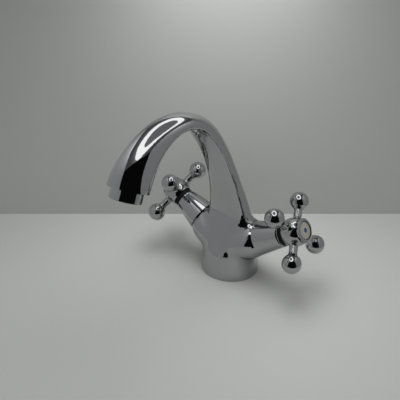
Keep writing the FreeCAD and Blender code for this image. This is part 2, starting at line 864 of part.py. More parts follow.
def sleeve_nut(side):
    name = f"{side}_sleeve_nut"
    inner = size.bonnet_stem_radius + size.fit_clearance
    top = nut_foot + size.nut_height
    bevel = size.nut_chamfer
    return turned(name, (
        (inner, nut_foot), (size.nut_radius, nut_foot), (size.nut_radius, top - bevel),
        (size.nut_radius - bevel, top), (inner, top)))


# Handles

def handle(side):
    """Hub with four rods that end in balls, hollowed for nut, spindle and cap."""
    name = f"{side}_handle"
    hub = turned(f"{name}_hub", (
        (ZERO, hub_rear), (size.hub_rear_radius, hub_rear),
        (size.hub_front_radius, hub_front), (ZERO, hub_front)),
        {1: size.hub_arc_radius})
    limbs = [hub]
    for number in range(ROD_COUNT):
        turn = size.cross_turn.value + WHOLE_TURN * number / ROD_COUNT
        swing = lifted(cross_height).multiply(Placement(Vector(), Rotation(Vector(0, 0, 1), turn)))
        outward = Placement(Vector(), Rotation(Vector(0, 1, 0), RIGHT_ANGLE))
        limbs.append(cylinder(
            f"{name}_rod_{number + 1}", size.rod_radius, size.ball_reach,
            swing.multiply(outward)))
        ball = doc.addObject("Part::Sphere", f"{name}_ball_{number + 1}")
        bind(ball, Radius=size.ball_radius)
        ball.Placement = swing.multiply(Placement(Vector(size.ball_reach.value, 0, 0), Rotation()))
        limbs.append(ball)
    raw = fuse(f"{name}_raw", limbs)
    necks = blended(
        f"{name}_necks", raw, size.ball_blend,
        lambda kinds, edge: kinds == {"Cylinder", "Sphere"})
    roots = blended(
        f"{name}_roots", necks, size.hub_blend,
        lambda kinds, edge: "Cylinder" in kinds and kinds & {"Toroid", "SurfaceOfRevolution"}
        and hub_side(edge))
    spline_bore = size.spline_radius + size.fit_clearance
    cavity = turned(f"{name}_cavity", (
        (ZERO, hub_rear - size.overrun),
        (size.hub_rear_radius - size.hub_cavity_wall, hub_rear - size.overrun),
        (size.hub_rear_radius - size.hub_cavity_wall, cavity_floor),
        (spline_bore, cavity_floor), (spline_bore, socket_floor), (ZERO, socket_floor)))
    screw_hole = cylinder(
        f"{name}_screw_hole", size.screw_thread_radius + size.fit_clearance * 2,
        size.web_thickness + size.overrun * 2, lifted(socket_floor - size.overrun))
    cap_seat = cylinder(
        f"{name}_cap_seat", size.cap_spigot_radius + size.fit_clearance,
        hub_front - web_front + size.overrun, lifted(web_front))
    return cut(name, roots, [cavity, screw_hole, cap_seat])


def hub_side(edge):
    """True for an edge nearer to the hub than to a ball."""
    centre = edge.CenterOfGravity
    return math.hypot(centre.x, centre.y) < size.ball_reach.value / 2


def handle_screw(side):
    """Socket-head screw that pulls the handle onto the spindle."""
    name = f"{side}_handle_screw"
    shank = size.screw_thread_radius - size.fit_clearance
    tip = spindle_top - size.screw_thread_length + size.overrun
    head_top = web_front + size.screw_head_height
    blank = turned(f"{name}_blank", (
        (ZERO, tip), (shank, tip), (shank, web_front), (size.screw_head_radius, web_front),
        (size.screw_head_radius, head_top), (ZERO, head_top)))
    key = prism(
        f"{name}_key", size.screw_key_radius, size.screw_key_depth + size.overrun,
        head_top - size.screw_key_depth)
    return cut(name, blank, [key])


def cap_ring(side):
    """Bezel that is pressed into the hub and holds the index disc."""
    spigot_bottom = hub_front - size.cap_spigot_length
    floor = hub_front + size.cap_seat_rise
    top = hub_front + size.cap_ring_height
    inner = size.index_disc_radius + size.fit_clearance
    return turned(f"{side}_cap_ring", (
        (size.cap_seat_radius, spigot_bottom), (size.cap_spigot_radius, spigot_bottom),
        (size.cap_spigot_radius, hub_front),
        (size.hub_front_radius - size.cap_ring_bevel, hub_front),
        (size.hub_front_radius, hub_front + size.cap_ring_bevel),
        (size.hub_front_radius, top - size.cap_ring_slope), (inner + size.cap_ring_land, top),
        (inner, top), (inner, floor), (size.cap_seat_radius, floor)))


def index_disc(side):
    """Domed disc with a shallow seat for the coloured dot."""
    name = f"{side}_index_disc"
    floor = hub_front + size.cap_seat_rise
    rim = floor + size.index_disc_edge
    crown = rim + size.index_dome
    radius = size.index_disc_radius
    disc = turned(f"{name}_blank", (
        (ZERO, floor), (radius, floor), (radius, rim), (ZERO, crown)),
        {2: arc_radius(radius, size.index_dome)})
    pocket = cylinder(
        f"{name}_pocket", size.index_dot_radius + size.fit_clearance,
        size.index_dot_depth + size.overrun, lifted(crown - size.index_dot_depth))
    return cut(name, disc, [pocket])


def index_dot(side):
    crown = hub_front + size.cap_seat_rise + size.index_disc_edge + size.index_dome
    return ring(
        f"{side}_index_dot", ZERO, size.index_dot_radius,
        crown - size.index_dot_depth, crown)


# Aerator

def aerator_housing():
    """Round collar below the spout with its threaded neck."""
    neck_top = size.collar_height + size.aerator_thread_length
    bevel = size.collar_chamfer
    return turned("aerator_housing", (
        (size.aerator_lip_radius, ZERO), (size.collar_radius - bevel, ZERO),
        (size.collar_radius, bevel), (size.collar_radius, size.collar_height),
        (size.aerator_thread_radius, size.collar_height), (size.aerator_thread_radius, neck_top),
        (size.aerator_bore_radius, neck_top), (size.aerator_bore_radius, size.aerator_lip_height),
        (size.aerator_lip_radius, size.aerator_lip_height)))


def aerator_insert():
    """Cup with rings of small jets in its floor."""
    radius = size.aerator_bore_radius - size.fit_clearance
    floor = size.aerator_lip_height
    plate = floor + size.insert_plate
    top = floor + size.insert_height
    cup = turned("aerator_insert_cup", (
        (ZERO, floor), (radius, floor), (radius, top), (radius - size.insert_wall, top),
        (radius - size.insert_wall, plate), (ZERO, plate)))
    jets = []
    for level in range(JET_RINGS + 1):
        around = max(JETS_MORE_EACH_RING * level, 1)
        for step in range(around):
            turn = Rotation(Vector(0, 0, 1), WHOLE_TURN * step / around)
            out = turn.multVec(Vector(level * size.jet_pitch.value, 0, 0))
            place = Placement(out, Rotation()).multiply(lifted(floor - size.overrun))
            jets.append(cylinder(
                f"jet_{level}_{step}", size.jet_radius,
                size.insert_plate + size.overrun * 2, place))
    return cut("aerator_insert", cup, jets)


def aerator_washer():
    bottom = size.collar_height + size.aerator_thread_length
    outer = size.aerator_thread_radius - size.fit_clearance
    return ring(
        "aerator_washer", outer - size.washer_width, outer,
        bottom, bottom + size.washer_thickness)


keep("body_casting", body_casting())
keep("foot_seal", foot_seal())
for make in (aerator_housing, aerator_insert, aerator_washer):
    piece = make()
    piece.Placement = aerator_frame
    keep(make.__name__, piece)

VALVE_PIECES = (
    seat_seal, fixed_disc, moving_disc, bonnet, bonnet_seal, spindle, spindle_o_rings, circlip,
    sleeve, sleeve_nut, handle, handle_screw, cap_ring, index_disc, index_dot)
for side, frame in arm_frames.items():
    for make in VALVE_PIECES:
        piece = make(side)
        piece.Placement = frame
        keep(f"{side}_{make.__name__}", piece)

doc.recompute()
for feature in doc.Objects:
    if "Invalid" in feature.State or "Error" in feature.State:
        raise RuntimeError(f"{feature.Label} failed: {feature.State}")
os.makedirs("parts", exist_ok=True)
for name, feature in pieces.items():
    shape = feature.Shape
    if shape.isNull() or not shape.isValid() or shape.Volume <= 0:
        raise RuntimeError(f"{name} has no sound shape")
    shape.exportStep(f"parts/{name}.step")
    bounds = shape.BoundBox
    print(
        f"{name}: {len(shape.Solids)} solid, {shape.Volume:.1f} mm3, "
        f"x {bounds.XMin:.1f} to {bounds.XMax:.1f}, "
        f"y {bounds.YMin:.1f} to {bounds.YMax:.1f}, "
        f"z {bounds.ZMin:.1f} to {bounds.ZMax:.1f}")
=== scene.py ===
# %% [markdown]
# # A basin mixer tap in polished chrome
#
# This script is a lesson in cells. It loads the tap's CAD pieces as a fixed frame, gives every
# piece its finish, remakes the one piece that is mostly holes, and sets up the photographer's
# light box around the tap. Chrome shows hardly anything of its own: what the eye reads as chrome
# is the room in it, so more than half of the lesson is about that room.
#
# Lengths are in metres. +Z points up, the spout reaches towards -Y, the cold handle stands at +X
# and the hot one at -X.

# %% Load the CAD frame
import json
import math

import bpy
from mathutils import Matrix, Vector


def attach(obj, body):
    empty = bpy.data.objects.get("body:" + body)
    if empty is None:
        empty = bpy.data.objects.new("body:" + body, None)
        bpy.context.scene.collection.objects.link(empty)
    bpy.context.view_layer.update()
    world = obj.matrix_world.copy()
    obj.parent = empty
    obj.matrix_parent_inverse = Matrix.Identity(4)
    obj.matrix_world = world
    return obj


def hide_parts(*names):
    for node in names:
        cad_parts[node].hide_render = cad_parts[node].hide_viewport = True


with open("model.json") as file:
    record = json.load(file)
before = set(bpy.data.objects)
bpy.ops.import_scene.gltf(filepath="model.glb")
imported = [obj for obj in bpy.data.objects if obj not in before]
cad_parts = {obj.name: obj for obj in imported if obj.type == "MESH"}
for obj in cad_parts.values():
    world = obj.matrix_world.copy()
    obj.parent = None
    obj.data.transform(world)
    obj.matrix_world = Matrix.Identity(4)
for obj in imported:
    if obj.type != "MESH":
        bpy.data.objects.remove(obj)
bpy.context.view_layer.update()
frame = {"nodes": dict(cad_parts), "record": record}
nodes = frame["nodes"]

# %% [markdown]
# ## The camera
#
# The photograph was taken from the tap's right, a little above it. A camera can be put by eye,
# or worked out from points whose real places are known. Here the ball ends, the collar and the
# foot gave its place and its lens, and two angles are enough to aim it: how far it is turned
# about the vertical, and how far it looks down. The focal length is in millimetres, as on a
# real lens.

# %% Camera
VIEW_YAW, VIEW_PITCH = math.radians(38.88), math.radians(25.65)
CAMERA_PLACE, FOCAL_LENGTH = (0.2408, -0.3445, 0.2708), 46.67
lens = bpy.data.cameras.new("photo_camera")
lens.lens = FOCAL_LENGTH
lens.clip_start = 0.01
camera = bpy.data.objects.new("photo_camera", lens)
camera.location = CAMERA_PLACE
camera.rotation_euler = (math.pi / 2 - VIEW_PITCH, 0, VIEW_YAW)
bpy.context.collection.objects.link(camera)
bpy.context.scene.camera = camera
print("camera at", tuple(round(c, 3) for c in camera.location))

# %% [markdown]
# ## A helper for node networks
#
# A finish is a network of small nodes, and so is a shape made by Geometry Nodes. Written out one
# node and one link at a time, even a simple sum takes six lines. The first class wraps a node's
# output, so that Python's own signs add the Math nodes. The second holds a network, and its
# `add` method adds every other kind of node: settings first, then sockets.


# %% Network helper
class Wire:
    """One output of a node; a sum with it adds a Math node."""

    def __init__(self, network, socket):
        self.network = network
        self.socket = socket

    def __add__(self, other):
        return self.network.maths("ADD", self, other)

    def __sub__(self, other):
        return self.network.maths("SUBTRACT", self, other)

    def __rsub__(self, other):
        return self.network.maths("SUBTRACT", other, self)

    def __mul__(self, other):
        return self.network.maths("MULTIPLY", self, other)

    def __truediv__(self, other):
        return self.network.maths("DIVIDE", self, other)

    def __gt__(self, other):
        return self.network.maths("GREATER_THAN", self, other)

    def __lt__(self, other):
        return self.network.maths("LESS_THAN", self, other)

    def __abs__(self):
        return self.network.maths("ABSOLUTE", self)

    __radd__ = __add__
    __rmul__ = __mul__


class Network:
    """A tree of nodes that grows by one call per node."""

    def add(self, kind, settings=None, sockets=None, output=0):
        """Add a node: its settings first, then a value, a wire or a list of wires per socket."""
        made = self.tree.nodes.new(kind)
        for name, value in (settings or {}).items():
            setattr(made, name, value)
        for name, value in (sockets or {}).items():
            for item in value if isinstance(value, list) else [value]:
                if isinstance(item, Wire):
                    self.tree.links.new(item.socket, made.inputs[name])
                else:
                    made.inputs[name].default_value = item
        return Wire(self, made.outputs[output])

    def maths(self, operation, *values):
        return self.add("ShaderNodeMath", {"operation": operation}, dict(enumerate(values)))


print("a sum now takes one sign, any other node one call")

# %% [markdown]
# A material needs a few things again and again: the point on the piece that is being shaded,
# noise, cells, a soft step, a blend of two colours, a bump. Each gets a short method. The points
# are always taken in the piece's own axes, so no pattern swims when a handle turns. Pictures
# could be wrapped round the pieces instead, but they would blur close up and show a seam on
# every ball, and sums over a point have neither trouble.
#
# Two more methods measure along a valve and away from its axis. Both valve axes lie in the XZ
# plane and mirror each other, so one sum gives the distance out along either of them: the
# absolute value of X times the cosine of the tilt, plus the height times its sine.


# %% Finish helper
ARM_TILT, ARM_HEIGHT = math.radians(27.7), 0.0253


class Finish(Network):
    """A material and the network of nodes that gives its look."""

    def __init__(self, name):
        self.material = bpy.data.materials.new(name)
        self.material.use_nodes = True
        self.tree = self.material.node_tree
        self.tree.nodes.clear()

    def node(self, kind, *rest, **named):
        return self.add("ShaderNode" + kind, *rest, **named)

    def place(self, stretch=(1, 1, 1), shift=(0, 0, 0)):
        """The point being shaded, on the piece's own axes, moved and stretched."""
        point = self.node("TexCoord", output="Object")
        return self.node("Mapping", None, {"Vector": point, "Location": shift, "Scale": stretch})

    def axes(self):
        """The point's three coordinates."""
        point = self.place()
        return [self.node("SeparateXYZ", None, {0: point}, output=axis) for axis in range(3)]

    def noise(self, scale, detail=2.0, place=None):
        return self.node("TexNoise", None, {
            "Vector": place or self.place(), "Scale": scale, "Detail": detail})

    def cells(self, scale, feature="F1", output="Distance"):
        return self.node("TexVoronoi", {"feature": feature}, {
            "Vector": self.place(), "Scale": scale}, output=output)

    def outward(self):
        """Distance out along whichever valve axis is the nearer."""
        across, _, up = self.axes()
        return abs(across) * math.cos(ARM_TILT) + up * math.sin(ARM_TILT)

    def off_axis(self):
        """Distance from that axis."""
        across, along, up = self.axes()
        rise = (up - ARM_HEIGHT) * math.cos(ARM_TILT) - abs(across) * math.sin(ARM_TILT)
        return self.maths("SQRT", along * along + rise * rise)

    def between(self, low, high, value):
        """0 below low, 1 above high, and a soft step between."""
        return self.node("MapRange", {"interpolation_type": "SMOOTHSTEP"}, {
            "Value": value, "From Min": low, "From Max": high})

    def blend(self, factor, first, second):
        """A colour between two colours; sockets 6 and 7 are the Mix node's colour inputs."""
        return self.node("Mix", {"data_type": "RGBA"}, {0: factor, 6: first, 7: second}, output=2)

    def bump(self, height, distance):
        """A normal that follows a height, whose whole range is as deep as the distance."""
        return self.node("Bump", None, {"Height": height, "Distance": distance, "Strength": 1.0})

    def end(self, shader):
        """Join the last shader to the material's output."""
        out = self.tree.nodes.new("ShaderNodeOutputMaterial")
        self.tree.links.new(shader.socket, out.inputs["Surface"])
        return self.material

    def surface(self, **sockets):
        """End the network in one Principled shader."""
        named = {name.replace("_", " "): value for name, value in sockets.items()}
        return self.end(self.node("BsdfPrincipled", None, named))


print("finish helper ready")

# %% [markdown]
# ## Chrome
#
# The casting is brass that was polished, nickel plated and then flashed with a skin of chrome
# that is thinner than a thousandth of a millimetre. The skin copies every mark of the
# polishing. Four things give it away as a real surface: the slow swell that a polishing wheel
# leaves, a thin film of fingerprints and wiping marks, dried water drops with their pale rims,
# and limescale that creeps up from the foot. Each one is a small change of roughness or colour,
# far too small to see alone.
#
# The drops come first. Voronoi cells cut space into lumps, and the distance from a lump's
# middle gives a ring where it is near one value. Each cell also has a shade of its own, picked
# at random, and only the darker cells keep their ring.

# %% Dried drops
DROP_CELLS, DROP_SHADE, DROP_RADIUS, DROP_RIM = 190.0, 0.22, 0.17, 0.05


def drops(finish):
    """Thin rims of dried drops, one in some of the cells."""
    far = finish.cells(DROP_CELLS)
    chosen = finish.cells(DROP_CELLS, output="Color") < DROP_SHADE
    rim = 1.0 - finish.between(0.0, DROP_RIM, abs(far - DROP_RADIUS))
    return rim * chosen


print("drops:", round(2000 * DROP_RADIUS / DROP_CELLS, 1), "mm wide")

# %% [markdown]
# The bezel in each handle has two narrow gaps, one behind it and one around the disc, and both lie
# in shade. The gaps could be cut deeper until they turn black by themselves, but that would change
# the real sizes. A dark colour between two distances along the valve's axis paints that shade in
# and moves nothing.

# %% Painted shade in the bezel gaps
# The near-black colour below is painted shade for the gaps behind each bezel and around its disc.
SEAM_SHADE = (0.020, 0.019, 0.017, 1)
GROOVE_LOW, GROOVE_HIGH, GROOVE_RADIUS = 0.0928, 0.0940, 0.0106
BEZEL_FRONT, BEZEL_BORE, SEAM_EDGE = 0.0945, 0.0078, 0.0002


def painted_seam_shade(finish):
    """Painted shade: 1 in the groove behind the bezel and at its bore, and 0 elsewhere."""
    out, off = finish.outward(), finish.off_axis()
    groove = finish.between(GROOVE_LOW, GROOVE_LOW + SEAM_EDGE, out) - finish.between(
        GROOVE_HIGH - SEAM_EDGE, GROOVE_HIGH, out)
    bore = 1.0 - finish.between(BEZEL_BORE, BEZEL_BORE + SEAM_EDGE, off)
    return groove * (off < GROOVE_RADIUS) + bore * (out > BEZEL_FRONT)


print("groove:", round((GROOVE_HIGH - GROOVE_LOW) * 1000, 1), "mm wide")

# %% [markdown]
# The inside of the foot is never plated. A turn of the tap shows it, so there the finish
# changes to dull cast brass. The change could be a second material on some of the faces, but a
# test of height and distance from the middle needs no list of faces, and still holds after the
# CAD piece is made again.

# %% Chrome
FILM = ((0.388, 0.396, 0.403, 1), (0.443, 0.450, 0.456, 1))
CAST_BRASS = ((0.30, 0.22, 0.10, 1), (0.46, 0.35, 0.17, 1))
LIMESCALE, LIMESCALE_HEIGHT = (0.60, 0.60, 0.58, 1), 0.006
RECESS_RADIUS, RECESS_DEPTH = 0.0212, 0.0122
PLATE_ROUGH, WIPED_ROUGH, DROP_ROUGH, LIMESCALE_ROUGH, CAST_ROUGH = 0.012, 0.035, 0.05, 0.16, 0.45
SWELL_DEPTH = 0.00010


def chrome(name, shift, cast_inside=False, with_seam_shade=False):
    """Worn plate; the shift moves its marks, so that no two finishes match."""
    finish = Finish(name)
    moved = finish.place(shift=(shift, 0, 0))
    film = finish.noise(34.0, 3.0, moved)
    wiped = finish.noise(160.0, 4.0, finish.place(stretch=(1.0, 0.35, 0.15), shift=(shift, 0, 0)))
    rims = drops(finish)
    across, along, up = finish.axes()
    scale = 1.0 - finish.between(0.0, LIMESCALE_HEIGHT, up + film * 0.003)
    colour = finish.blend(film, *FILM)
    colour = finish.blend(rims * 0.10 + scale * 0.12, colour, LIMESCALE)
    rough = wiped * WIPED_ROUGH + rims * DROP_ROUGH + scale * LIMESCALE_ROUGH + PLATE_ROUGH
    swell = finish.noise(38.0, 0.0, moved) + wiped * 0.012
    # Painted shade darkens the gaps behind the bezel and at its bore.
    if with_seam_shade:
        colour = finish.blend(painted_seam_shade(finish), colour, SEAM_SHADE)
    if not cast_inside:
        return finish.surface(
            Base_Color=colour, Metallic=1.0, Roughness=rough,
            Normal=finish.bump(swell, SWELL_DEPTH))
    radius = finish.maths("SQRT", across * across + along * along)
    inside = (radius < RECESS_RADIUS) * (up < RECESS_DEPTH)
    grain = finish.noise(1400.0, 5.0)
    cast = finish.blend(grain, *CAST_BRASS)
    return finish.surface(
        Base_Color=finish.blend(inside, colour, cast), Metallic=1.0,
        Roughness=rough + inside * CAST_ROUGH,
        Normal=finish.bump(swell + grain * inside * 2.0, SWELL_DEPTH))


FINISHES = {
    "body_chrome": chrome("body_chrome", 0.0, cast_inside=True),
    "trim_chrome": chrome("trim_chrome", 0.37, with_seam_shade=True),
    "handle_chrome": chrome("handle_chrome", 0.71, with_seam_shade=True)}
print("chrome finishes:", len(FINISHES))

# %% [markdown]
# ## Brass and steel inside the valves
#
# Bonnets and spindles are turned from brass bar, and the tool leaves a fine thread of ridges
# around the axis of the valve. The ridges could be modelled, but they are a few hundredths of a
# millimetre high, so a bump does. Noise along the distance out, and along nothing else, makes
# such rings.
#
# The circlips and the handle screws are spring steel. They are blanked and tumbled, not
# turned, so their marks run every way, which is plain noise.


# %% Turned brass and steel
def turned_brass():
    finish = Finish("valve_brass")
    ridges = finish.node("TexNoise", {"noise_dimensions": "1D"}, {
        "W": finish.outward(), "Scale": 5200.0, "Detail": 2.0})
    stain = finish.noise(220.0, 4.0)
    colour = finish.blend(stain, (0.50, 0.35, 0.13, 1), (0.80, 0.61, 0.29, 1))
    return finish.surface(
        Base_Color=colour, Metallic=1.0, Roughness=stain * 0.15 + ridges * 0.12 + 0.14,
        Normal=finish.bump(ridges, 0.00003))


def tumbled_steel():
    finish = Finish("spring_steel")
    nicks = finish.noise(2600.0, 5.0)
    tint = finish.noise(400.0, 2.0)
    colour = finish.blend(tint, (0.40, 0.40, 0.42, 1), (0.60, 0.60, 0.61, 1))
    return finish.surface(
        Base_Color=colour, Metallic=1.0, Roughness=nicks * 0.25 + 0.15,
        Normal=finish.bump(nicks, 0.00002))


FINISHES["valve_brass"] = turned_brass()
FINISHES["spring_steel"] = tumbled_steel()
print("metals:", len(FINISHES))

# %% [markdown]
# ## Rubber, nylon, ceramic and porcelain
#
# Seals are moulded from black rubber, and age greys their skin in patches. The nuts under the
# handles are black nylon, and their colour is set blacker still and their shine weak, which also
# paints in the shade that fills the gap where they sit. The aerator's insert is a pale plastic. A
# mould leaves the same kinds of marks on all three, a fine skin and slow patches, so one function
# makes them, with other colours and grain for each. The valve's ceramic discs are lapped flat on
# a plate, so they are bright and even with only faint grey flecks.


# %% Rubber, nylon, ceramic
def moulded(name, dark, light, rough, grain, shine=0.5):
    """Rubber or plastic: a fine skin texture and slow patches of wear."""
    finish = Finish(name)
    patches = finish.noise(150.0, 3.0)
    skin = finish.noise(grain, 4.0)
    return finish.surface(
        Base_Color=finish.blend(patches * 0.6 + skin * 0.4, dark, light),
        Roughness=skin * 0.15 + patches * 0.08 + rough, Specular_IOR_Level=shine,
        Normal=finish.bump(skin, 0.00004))


def lapped_ceramic():
    finish = Finish("valve_ceramic")
    flecks = finish.between(0.62, 0.70, finish.noise(3200.0, 3.0))
    cloud = finish.noise(260.0, 2.0)
    colour = finish.blend(cloud, (0.82, 0.80, 0.75, 1), (0.90, 0.89, 0.85, 1))
    return finish.surface(
        Base_Color=finish.blend(flecks * 0.3, colour, (0.45, 0.44, 0.42, 1)),
        Roughness=cloud * 0.08 + 0.10)


FINISHES["seal_rubber"] = moulded(
    "seal_rubber", (0.012, 0.012, 0.012, 1), (0.040, 0.040, 0.038, 1), 0.52, 1800.0)
# The nuts' near-black colour and weak shine are their black nylon and also painted shade in their
# gap.
FINISHES["nut_nylon"] = moulded(
    "nut_nylon", (0.003, 0.003, 0.003, 1), (0.008, 0.008, 0.008, 1), 0.45, 900.0, 0.12)
FINISHES["aerator_plastic"] = moulded(
    "aerator_plastic", (0.62, 0.62, 0.59, 1), (0.80, 0.80, 0.77, 1), 0.34, 700.0)
FINISHES["valve_ceramic"] = lapped_ceramic()
print("with rubber, plastics and ceramic:", len(FINISHES))

# %% [markdown]
# The disc in the cap is glazed porcelain. Glaze shrinks more than the clay below it and cracks
# into a fine net, and the net takes up dirt. The cracks could be drawn line by line, but the
# distance to the nearest edge of Voronoi cells is such a net ready made. A dark band at the
# disc's edge is painted shade where the disc meets the ring. The dots are enamel, which has run a
# little before it set, so a slow bump is enough.


# %% Porcelain and enamel
DISC_EDGE, DISC_SEAM = 0.0075, 0.0005
CRACKLE, CRACK = 620.0, 0.035
CRACK_DIRT = (0.12, 0.10, 0.07, 1)


def crackled_porcelain():
    finish = Finish("index_porcelain")
    net = 1.0 - finish.between(0.0, CRACK, finish.cells(CRACKLE, feature="DISTANCE_TO_EDGE"))
    cloud = finish.noise(190.0, 3.0)
    glaze = finish.blend(cloud, (0.262, 0.252, 0.214, 1), (0.330, 0.320, 0.274, 1))
    colour = finish.blend(net * 0.45, glaze, CRACK_DIRT)
    # A dark band just inside the disc's edge is painted shade.
    rim_shade = finish.between(DISC_EDGE - DISC_SEAM, DISC_EDGE, finish.off_axis())
    return finish.surface(
        Base_Color=finish.blend(rim_shade, colour, SEAM_SHADE),
        Roughness=cloud * 0.06 + 0.10, Coat_Weight=0.4,
        Normal=finish.bump(1.0 - net * 0.5, 0.00002))


def enamel(name, dark, light):
    finish = Finish(name)
    run = finish.noise(900.0, 2.0)
    return finish.surface(
        Base_Color=finish.blend(run, dark, light), Roughness=run * 0.08 + 0.14,
        Coat_Weight=0.5, Normal=finish.bump(run, 0.00005))


FINISHES["index_porcelain"] = crackled_porcelain()
FINISHES["cold_dot_enamel"] = enamel(
    "cold_dot_enamel", (0.010, 0.022, 0.085, 1), (0.022, 0.050, 0.170, 1))
FINISHES["hot_dot_enamel"] = enamel(
    "hot_dot_enamel", (0.170, 0.012, 0.010, 1), (0.330, 0.028, 0.020, 1))
print("finishes:", sorted(FINISHES))

# %% [markdown]
# ## Put the finishes on the CAD pieces
#
# The record names a slot for every piece. A second table from piece to finish could be typed
# here, but it would go stale as soon as a piece is renamed, so the record's own is read.

# %% Slots
slot_of = {entry["node"]: entry["material_slot"] for entry in frame["record"]["subparts"]}
for name, piece in nodes.items():
    for slot in piece.material_slots:
        slot.material = FINISHES[slot_of[name]]
print("pieces with a finish:", len(slot_of))

# %% [markdown]
# ## The aerator's comb, made by Geometry Nodes
#
# The insert in the spout's collar is mostly holes: a cup whose floor is a comb of six-sided
# cells. Nodes make it in three steps. A grid of points gets every second row shifted by half a
# cell, which turns squares into a honeycomb. Points too near the wall are deleted, and a
# six-sided prism stands on each point that is left. A Boolean then takes all the prisms and one
# round bore out of a solid plug.
#
# The comb could also be cut by hand, one hole at a time, and the holes would then have to be
# cut again for another pitch. In the tree the numbers are inputs with names, set on the modifier
# before it runs for the first time.


# %% Shape helper
class Shape(Network):
    """A Geometry Nodes tree with named inputs."""

    def __init__(self, name, *labels):
        self.tree = bpy.data.node_groups.new(name, "GeometryNodeTree")
        sockets = self.tree.interface
        sockets.new_socket("Geometry", in_out="OUTPUT", socket_type="NodeSocketGeometry")
        self.keys = {label: sockets.new_socket(
            label, in_out="INPUT", socket_type="NodeSocketFloat").identifier for label in labels}
        self.group = self.tree.nodes.new("NodeGroupInput")

    def node(self, kind, *rest, **named):
        return self.add("GeometryNode" + kind, *rest, **named)

    def given(self, label):
        return Wire(self, self.group.outputs[label])

    def vector(self, x=0.0, y=0.0, z=0.0):
        return self.add("ShaderNodeCombineXYZ", None, {"X": x, "Y": y, "Z": z})

    def prism(self, sides, radius, low, high):
        """An upright prism between two heights."""
        solid = self.node("MeshCylinder", None, {
            "Vertices": sides, "Radius": radius, "Depth": high - low})
        return self.node("Transform", None, {
            "Geometry": solid, "Translation": self.vector(z=(high + low) / 2.0)})

    def end(self, geometry, material):
        whole = self.node("RealizeInstances", None, {"Geometry": geometry})
        coated = self.node("SetMaterial", None, {"Geometry": whole, "Material": material})
        out = self.tree.nodes.new("NodeGroupOutput")
        self.tree.links.new(coated.socket, out.inputs["Geometry"])

    def grow(self, name, values):
        """Run the tree once and keep its result as a plain mesh."""
        made = bpy.data.objects.new(name, bpy.data.meshes.new(name))
        bpy.context.collection.objects.link(made)
        modifier = made.modifiers.new("growth", "NODES")
        modifier.node_group = self.tree
        for label, value in values.items():
            modifier[self.keys[label]] = value
        ready = made.evaluated_get(bpy.context.evaluated_depsgraph_get())
        plain = bpy.data.meshes.new_from_object(ready)
        made.modifiers.clear()
        made.data = plain
        return made


print("shape helper ready")

# %% [markdown]
# The plug has the size and the place of the CAD insert, and its cells are 2 mm apart. The
# prisms and the bore run half a millimetre past the faces that they cut: a Boolean whose two
# solids share a face doesn't know on which side of it the material is.

# %% The comb
COMB = {
    "Pitch": 0.0020, "Cell": 0.00104, "Reach": 0.0075, "Radius": 0.00985, "Bore": 0.00865,
    "Foot": 0.0010, "Floor": 0.0030, "Top": 0.0115}
OUTLET, OUTLET_TURN = (0.0, -0.12784, 0.11665), (math.radians(-23.9), 0.0, 0.0)
ROWS, ROUND_SIDES, OVERLAP = 11, 96, 0.0005
SMOOTH_BELOW = math.radians(30)

comb = Shape("aerator_comb", *COMB)
pitch, foot, floor, top = (comb.given(label) for label in ("Pitch", "Foot", "Floor", "Top"))
row_gap = pitch * math.sin(math.pi / 3)
grid = comb.node("MeshGrid", None, {
    "Size X": pitch * (ROWS - 1), "Size Y": row_gap * (ROWS - 1),
    "Vertices X": ROWS, "Vertices Y": ROWS})
place = comb.node("InputPosition")
row = comb.maths("ROUND", comb.add("ShaderNodeSeparateXYZ", None, {0: place}, output=1) / row_gap)
shifted = comb.node("SetPosition", None, {
    "Geometry": grid,
    "Offset": comb.vector(x=comb.maths("FLOORED_MODULO", row, 2.0) * pitch * 0.5)})
distance = comb.add("ShaderNodeVectorMath", {"operation": "LENGTH"}, {0: place}, output=1)
kept = comb.node("DeleteGeometry", {"domain": "POINT"}, {
    "Geometry": shifted, "Selection": distance > comb.given("Reach")})
cells = comb.node("InstanceOnPoints", None, {
    "Points": kept, "Rotation": (0.0, 0.0, math.pi / 6),
    "Instance": comb.prism(6, comb.given("Cell"), foot - OVERLAP, floor + OVERLAP)})
plug = comb.prism(ROUND_SIDES, comb.given("Radius"), foot, top)
bore = comb.prism(ROUND_SIDES, comb.given("Bore"), floor, top + OVERLAP)
cup = comb.node("MeshBoolean", {"operation": "DIFFERENCE", "solver": "EXACT"}, {
    "Mesh 1": plug, "Mesh 2": [bore, cells]})
comb.end(comb.node("Transform", None, {
    "Geometry": cup, "Translation": OUTLET, "Rotation": OUTLET_TURN}), FINISHES["aerator_plastic"])

insert = comb.grow("comb_insert", COMB)
insert.data.shade_smooth()
insert.data.set_sharp_from_angle(angle=SMOOTH_BELOW)
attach(insert, "tap_body")
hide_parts("aerator_insert")
print("comb:", len(insert.data.polygons), "faces")

# %% [markdown]
# ## The light box
#
# Small chromed goods are photographed in a tent of white paper with a gap for the lens. The
# gap is what draws the black wedge in every ball, and the lamp above draws the white ring. Both
# were measured in the photograph's ball ends: a ball mirrors nearly the whole room, so a line
# in it can be traced back to a place in the tent.
#
# Distances in the tent are given along the camera's own axes: across the view, away from the
# camera and up.

# %% Light box measures
ACROSS = Vector((math.cos(VIEW_YAW), math.sin(VIEW_YAW), 0))
AWAY = Vector((-math.sin(VIEW_YAW), math.cos(VIEW_YAW), 0))
LEFT, RIGHT, BACK, FRONT, TOP = -0.155, 0.188, 0.108, -0.210, 0.295
QUAD = [(0, 1, 2, 3)]


def spot(across, away, up):
    return ACROSS * across + AWAY * away + Vector((0, 0, up))


